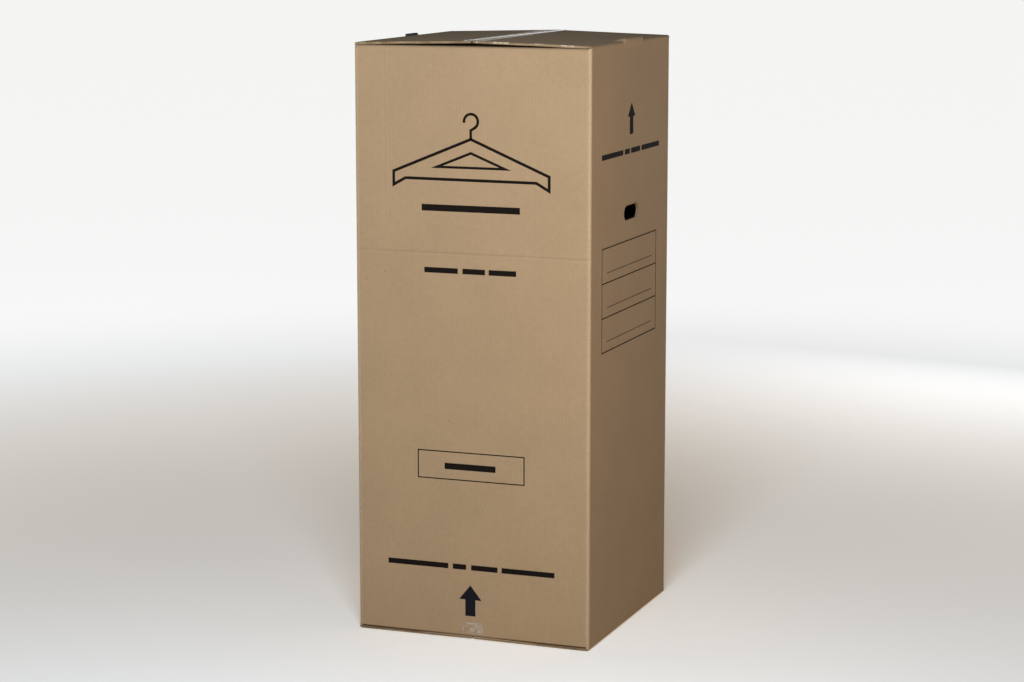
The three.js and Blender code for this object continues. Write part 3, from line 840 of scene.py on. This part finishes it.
# The place of a point of the profile where the fold isn't pushed up
def foldPlace(x, y, z, onWall):
    if onWall:
        return Vector((halfWidth - bulgeLook["clear"], y, z))
    top, radius = board["sideTop"], board["foldRadius"]
    turn = max(0.0, min(1.0, (x - (halfWidth - radius)) / radius))
    restZ = top - radius + math.sqrt(1 - turn * turn) * radius
    return Vector((min(x, halfWidth), y, restZ + bulgeLook["clear"]))


def makeBulge():
    look = bulgeLook
    vertices, faces = [], []
    for row in range(look["rows"] + 1):
        y = look["front"] + (look["back"] - look["front"]) * row / look["rows"]
        near = min(1.0, min(y - look["front"], look["back"] - y) / look["blend"])
        share = near ** 2 * (3 - 2 * near)
        for x, rise in look["raised"]:
            place = Vector((x * mm, y, board["sideTop"] + rise * mm))
            vertices.append(foldPlace(*place, rise <= look["wallFrom"]).lerp(place, share))
    across = len(look["raised"])
    for row in range(look["rows"]):
        for a in range(row * across, row * across + across - 1):
            faces.append((a, a + 1, a + across + 1, a + across))
    mesh = meshOf("fold_bulge", vertices, faces)
    form = bmesh.new()
    form.from_mesh(mesh)
    ribs = [edge for edge in form.edges if math.isclose(edge.verts[0].co.y, edge.verts[1].co.y, abs_tol=1e-5)]
    bmesh.ops.subdivide_edges(form, edges=ribs, cuts=look["cuts"], smooth=1.0)
    for face in form.faces:
        face.smooth = True
    placeOnBoard(form, lambda place, normal: (place.y, place.z))
    bulge = addPiece("fold_bulge", keepForm(form, mesh), [kraftLiner])
    shell = bulge.modifiers.new("thickness", "SOLIDIFY")
    shell.thickness, shell.offset = look["paper"], 1.0


makeBulge()
print("bulge made")


# Flakes of torn liner hang along the right flap's front end

tornLook = {
    "spots": [(2, 13), (46, 79), (132, 160), (186, 213)],  # in mm from the middle, along the end
    "spotSteps": 6,
    "height": 3.0 * mm,
    "points": 5,  # over that height
    "step": 0.8 * mm,
    "ragged": 2.6 * mm,
    "raggedSize": 3.2 * mm,
    "missing": 0.44,  # below this level of the noise the liner is gone
    "centre": (0.5, 0.62, 0.5),  # of the noise; above 0.5 in Y it pulls the flakes forwards
    "paper": 0.25 * mm,
    "clear": 0.5 * mm,
    "raised": 0.8 * mm,  # over the middle of the board
    "seamRoom": 4.2 * mm,  # the flap's height is read at least so far from the middle
    "inset": 3 * mm,  # and so far behind its end
}


def makeTornTree():
    sizes = ("Step", "Height", "Ragged", "Ragged Size", "Missing")
    tree, given, _ = newGeometryTree("torn_liner", sizes, {})
    line = addNode(tree, "GeometryNodeSetCurveNormal", {
        "Curve": addPath(tree, given), "Normal": up}, mode="FREE")
    strip = addStrip(tree, line, given["Height"], "X", tornLook["points"])
    place = addNode(tree, "GeometryNodeInputPosition")
    finer = addNode(tree, "ShaderNodeMath", {0: 1.0, 1: given["Ragged Size"]}, operation="DIVIDE")
    noise = addNode(tree, "ShaderNodeTexNoise", {"Vector": place, "Scale": finer, "Detail": 2.0}).outputs
    gone = addNode(tree, "ShaderNodeMath", {0: noise["Fac"], 1: given["Missing"]}, operation="LESS_THAN")
    strip = addNode(tree, "GeometryNodeDeleteGeometry", {"Geometry": strip, "Selection": gone}, domain="FACE")
    centred = addNode(tree, "ShaderNodeVectorMath", {0: noise["Color"], 1: tornLook["centre"]},
                      operation="SUBTRACT")
    shift = addNode(tree, "ShaderNodeVectorMath", {0: centred, "Scale": given["Ragged"]}, operation="SCALE")
    strip = addNode(tree, "GeometryNodeSetPosition", {"Geometry": strip, "Offset": shift})
    return endTree(tree, given, strip)


def makeTornFlakes():
    look, end = tornLook, -board["flapHalf"]
    points, edges = [], []
    for first, last in look["spots"]:
        for i in range(look["spotSteps"] + 1):
            x = (first + (last - first) * i / look["spotSteps"]) * mm
            z = flapMiddle(max(x, look["seamRoom"]), end + look["inset"], True) + look["raised"]
            points.append(Vector((x, end - endShift(x, True) - look["clear"], z)))
            if i > 0:
                edges.append((len(points) - 2, len(points) - 1))
    base = meshOf("torn_path", points, [], edges)
    mesh = grownMesh("torn_liner", base, makeTornTree(), {
        "Step": look["step"], "Height": look["height"], "Ragged": look["ragged"],
        "Ragged Size": look["raggedSize"], "Missing": look["missing"], "Material": flakePaper,
    }, solidify=look["paper"])
    addPiece("torn_liner", mesh)


makeTornFlakes()
print("torn liner made")


# The print: simple inked shapes on the liner, in mm from a wall's left edge and down from near its top

printLook = {
    "top": 1200 * mm,
    "lift": 0.08 * mm,  # keeps the ink clear of the paper in a render
    "thickness": 0.05 * mm,
    "barShare": 0.4,  # a plain bar's height, as a share of its row's
    "sharpest": 0.2,  # a stroke's corner reaches out by its width over this at most
}

frontPrint = {
    "hookCentre": (250, 148.5),
    "hookRadius": 14.7,
    "hookStart": 190,  # degrees, measured from the right, upwards
    "hookEnd": -60,
    "hookSteps": 32,
    "hookStroke": 5.4,
    "stem": [(249.5, 166), (249.5, 184)],
    "outline": [(249.5, 183.5), (84, 251), (84, 278), (109.5, 264), (387, 265), (414, 280), (414, 252)],
    "outlineStroke": 5.8,
    "triangle": [(249.5, 211), (177, 240), (322, 240)],
    "triangleStroke": 5.2,
    "arrowTip": (246, 1087.5),
    "arrowHead": (48.5, 30),
    "arrowShaft": (22, 34),
    "frame": (133.5, 814.5, 362, 871),
    "frameStroke": 2.3,
    "barRows": [
        {"top": 305, "height": 33, "bars": [(144, 353)]},
        {"top": 433, "height": 27, "bars": [(149, 221), (231, 279), (287, 345)]},
        {"top": 828, "height": 32, "bars": [(191, 301)]},
        {"top": 1037, "height": 27, "bars": [(66, 198), (208, 237), (248, 305), (314, 427)]},
    ],
}

# Larger flecks of bark in the front liner, each nearly three-cornered and turned its own way
fleckLook = {
    "spots": [(65, 454, 3.4), (21, 471, 2.6), (170, 405, 2.4),  # place and width
              (200, 751, 2.8), (35, 625, 2.2), (272, 930, 2.6)],
    "points": 9,
    "pinch": 0.25,  # how deep its three sides are drawn in, as a share
    "turn": 0.37,  # in radians per mm from the left
}

rightPrint = {
    "arrowTip": (249, 121),
    "arrowHead": (47, 28),
    "arrowShaft": (22, 36),
    "table": (70, 399.5, 417, 607.5),
    "dividers": [469, 538.5],
    "writingLines": [449.5, 519, 587.5],
    "writingReach": (99, 388),
    "tableStroke": 2.3,
    "lineStroke": 1.3,
    "barRows": [
        {"top": 205, "height": 26.5, "bars": [(65, 197), (207, 239), (247, 306), (315, 432)]},
    ],
}


def onFront(x, down, out):
    return Vector((-halfWidth + x * mm, -halfDepth - out, printLook["top"] - down * mm))


def onRight(along, down, out):
    return Vector((halfWidth + out, -halfDepth + along * mm, printLook["top"] - down * mm))


# A sheet gathers flat shapes on one wall, each a thin closed plate of ink
def newSheet(place):
    return {"place": place, "vertices": [], "faces": []}


def addPlate(sheet, outline):
    count = len(outline)
    start = len(sheet["vertices"])
    for out in (printLook["lift"], printLook["lift"] + printLook["thickness"]):
        sheet["vertices"] += [sheet["place"](x, y, out) for x, y in outline]
    sheet["faces"].append([start + count + i for i in range(count)])
    sheet["faces"].append([start + i for i in reversed(range(count))])
    for i in range(count):
        j = (i + 1) % count
        sheet["faces"].append([start + i, start + j, start + count + j, start + count + i])


def addRectangle(sheet, x0, y0, x1, y1):
    addPlate(sheet, [(x0, y1), (x1, y1), (x1, y0), (x0, y0)])


# A closed stroke is a ring of mitred quads, an open one a chain
def addStroke(sheet, points, width, closed=True):
    line = [Vector(point) for point in points]
    count = len(line)
    lefts, rights = [], []
    for i, point in enumerate(line):
        before = line[(i - 1) % count] if closed or i > 0 else None
        after = line[(i + 1) % count] if closed or i < count - 1 else None
        arriving = (point - before).normalized() if before is not None else (after - point).normalized()
        leaving = (after - point).normalized() if after is not None else arriving
        along = (arriving + leaving).normalized()
        reach = width / 2 / max(along.dot(arriving), printLook["sharpest"])
        normal = Vector((-along.y, along.x)) * reach
        lefts.append(point + normal)
        rights.append(point - normal)
    for i in range(count if closed else count - 1):
        j = (i + 1) % count
        addPlate(sheet, [tuple(p) for p in (lefts[i], lefts[j], rights[j], rights[i])])


def addFrame(sheet, corners, width):
    x0, y0, x1, y1 = corners
    addStroke(sheet, [(x0, y0), (x0, y1), (x1, y1), (x1, y0)], width)


def addArrow(sheet, values):
    x, y = values["arrowTip"]
    headWidth, headHeight = values["arrowHead"]
    shaftWidth, shaftHeight = values["arrowShaft"]
    base = y + headHeight
    addPlate(sheet, [(x, y), (x - headWidth / 2, base), (x + headWidth / 2, base)])
    addRectangle(sheet, x - shaftWidth / 2, base, x + shaftWidth / 2, base + shaftHeight)


# Plain bars, which say nothing, each in the middle of its row
def addBars(sheet, rows):
    for row in rows:
        middle = row["top"] + row["height"] / 2
        half = row["height"] * printLook["barShare"] / 2
        for start, end in row["bars"]:
            addRectangle(sheet, start, middle - half, end, middle + half)


def finishSheet(sheet, name, material):
    mesh, form = closedForm(name, sheet["vertices"], sheet["faces"])
    addPiece(name, keepForm(form, mesh), [material])


def makeFrontPrint():
    values = frontPrint
    sheet = newSheet(onFront)
    (centreX, centreY), radius, steps = values["hookCentre"], values["hookRadius"], values["hookSteps"]
    sweep = values["hookEnd"] - values["hookStart"]
    angles = [math.radians(values["hookStart"] + sweep * i / steps) for i in range(steps + 1)]
    hook = [(centreX + radius * math.cos(angle), centreY - radius * math.sin(angle)) for angle in angles]
    addStroke(sheet, hook + values["stem"], values["hookStroke"], closed=False)
    addStroke(sheet, values["outline"], values["outlineStroke"])
    addStroke(sheet, values["triangle"], values["triangleStroke"])
    addFrame(sheet, values["frame"], values["frameStroke"])
    addBars(sheet, values["barRows"])
    finishSheet(sheet, "print_front", brownInk)
    arrow = newSheet(onFront)
    addArrow(arrow, values)
    finishSheet(arrow, "print_front_arrow", blueInk)


def makeFlecks():
    look = fleckLook
    sheet = newSheet(onFront)
    angles = [-math.tau * i / look["points"] for i in range(look["points"])]
    for x, y, width in look["spots"]:
        turn, outline = x * look["turn"], []
        for angle in angles:
            reach = width / 2 * (1 - look["pinch"] + look["pinch"] * math.cos(3 * angle + turn))
            outline.append((x + reach * math.cos(angle + turn), y + width / 3 * math.sin(angle + turn)))
        addPlate(sheet, outline)
    finishSheet(sheet, "bark_flecks", barkFleck)


def makeRightPrint():
    values = rightPrint
    sheet = newSheet(onRight)
    addArrow(sheet, values)
    addBars(sheet, values["barRows"])
    addFrame(sheet, values["table"], values["tableStroke"])
    inset, thin = values["tableStroke"] / 2, values["lineStroke"] / 2
    left, _, right, _ = values["table"]
    for y in values["dividers"]:
        addRectangle(sheet, left + inset, y - inset, right - inset, y + inset)
    left, right = values["writingReach"]
    for y in values["writingLines"]:
        addRectangle(sheet, left, y - thin, right, y + thin)
    finishSheet(sheet, "print_right", brownInk)


makeFrontPrint()
makeFlecks()
makeRightPrint()
print("print made")


# The rail keeps its packed form and gets its finish
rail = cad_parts["hanging_rail"]
rail.data.materials.clear()
rail.data.materials.append(mouldedBlack)
print("rail finished")


# Floor, light and camera

# The floor glows a little, as a lit studio sweep does, and more so away from the box
floorLook = {
    "reach": 60.0,
    "nearRadius": 0.5,  # from here the glow grows,
    "farRadius": 4.6,  # up to here,
    "warmRadius": 3.2,  # and by here it has lost its warm tint
    "nearGlow": 0.29,
    "farGlow": 0.97,
}


def makeFloor():
    reach = floorLook["reach"]
    corners = [(-reach, -reach, 0), (reach, -reach, 0), (reach, reach, 0), (-reach, reach, 0)]
    mesh = meshOf("floor", corners, [(0, 1, 2, 3)])
    floor = newObject("floor", mesh)
    material, tree, shader, place = newMaterial("pale_floor", {
        "Base Color": linear("floor"), "Roughness": 0.9, "Specular IOR Level": 0.0})
    away = addNode(tree, "ShaderNodeVectorMath", {0: place}, operation="LENGTH").outputs["Value"]
    glow = addNode(tree, "ShaderNodeMapRange", {
        "Value": away, "From Min": floorLook["nearRadius"], "From Max": floorLook["farRadius"],
        "To Min": floorLook["nearGlow"], "To Max": floorLook["farGlow"]}, interpolation_type="SMOOTHSTEP")
    whiter = addNode(tree, "ShaderNodeMapRange", {
        "Value": away, "From Min": floorLook["nearRadius"], "From Max": floorLook["warmRadius"]})
    tint = addNode(tree, "ShaderNodeMix", {0: whiter, 6: linear("floorGlow"), 7: linear("floor")},
                   data_type="RGBA")
    setInputs(tree, shader, {"Emission Strength": glow, "Emission Color": tint})
    mesh.materials.append(material)


lamps = [
    {"name": "key", "place": (0.64, -2.3, 1.8), "target": (0.0, 0.0, 0.8), "size": (1.0, 1.0),
     "power": 66, "colour": (0.71, 0.85, 1.0)},
    {"name": "right_card", "place": (0.72, -0.7, 0.9), "target": (0.25, -0.1, 0.8), "size": (0.25, 1.1),
     "power": 0.85, "colour": (1.0, 0.6, 0.16)},
    {"name": "top_card", "place": (0.0, 0.5, 3.2), "target": (0.0, 0.0, 1.2), "size": (1.2, 1.2),
     "power": 3.5, "colour": (0.74, 0.85, 1.0)},
    # stands where the tape mirrors it
    {"name": "tape_card", "place": (-0.88, 2.3, 1.62), "target": (0.0, 0.0, 1.21), "size": (0.8, 0.7),
     "power": 1.8, "colour": (1.0, 0.98, 0.95)},
    {"name": "back_fill", "place": (0.6, 3.2, 1.0), "target": (0.0, 0.0, 0.7), "size": (1.6, 0.9),
     "power": 9, "colour": (1.0, 1.0, 1.0)},
]
worldGlow = 0.015


def makeLamps():
    for lamp in lamps:
        light = bpy.data.lights.new(lamp["name"], "AREA")
        light.shape = "RECTANGLE"
        light.size, light.size_y = lamp["size"]
        light.energy = lamp["power"]
        light.color = lamp["colour"]
        holder = newObject(lamp["name"], light)
        holder.location = lamp["place"]
        aim = Vector(lamp["target"]) - Vector(lamp["place"])
        holder.rotation_euler = aim.to_track_quat("-Z", "Y").to_euler()


# The camera sees a pale sweep above the floor's end, which lights nothing
def makeWorld():
    world = bpy.data.worlds.new("studio")
    world.use_nodes = True
    tree = world.node_tree
    seen = addNode(tree, "ShaderNodeLightPath").outputs["Is Camera Ray"]
    strength = addNode(tree, "ShaderNodeMath", {0: seen, 1: floorLook["farGlow"], 2: worldGlow},
                       operation="MULTIPLY_ADD")
    setInputs(tree, tree.nodes["Background"], {"Color": (1.0, 1.0, 1.0, 1.0), "Strength": strength})
    bpy.context.scene.world = world


# Placed from the corners of the box in the photo, for a picture of 1024 x 682
cameraLook = {
    "place": (1.892, -4.991, 1.465),
    "azimuth": 20.85,
    "elevation": 9.46,
    "focalPixels": 2597.0,
    "pictureWidth": 1024.0,
    "sensor": 36.0,
    "clipEnd": 200.0,
}


def makeCamera():
    look = cameraLook
    data = bpy.data.cameras.new("camera")
    data.sensor_width = look["sensor"]
    data.lens = look["focalPixels"] / look["pictureWidth"] * look["sensor"]
    data.clip_end = look["clipEnd"]
    azimuth, elevation = math.radians(look["azimuth"]), math.radians(look["elevation"])
    level = math.cos(elevation)
    forward = Vector((-math.sin(azimuth) * level, math.cos(azimuth) * level, -math.sin(elevation)))
    camera = newObject("camera", data)
    camera.location = look["place"]
    camera.rotation_euler = forward.to_track_quat("-Z", "Y").to_euler()
    bpy.context.scene.camera = camera


makeFloor()
makeLamps()
makeWorld()
makeCamera()
bpy.context.scene.view_settings.view_transform = "Standard"
print("stage, light and camera made")
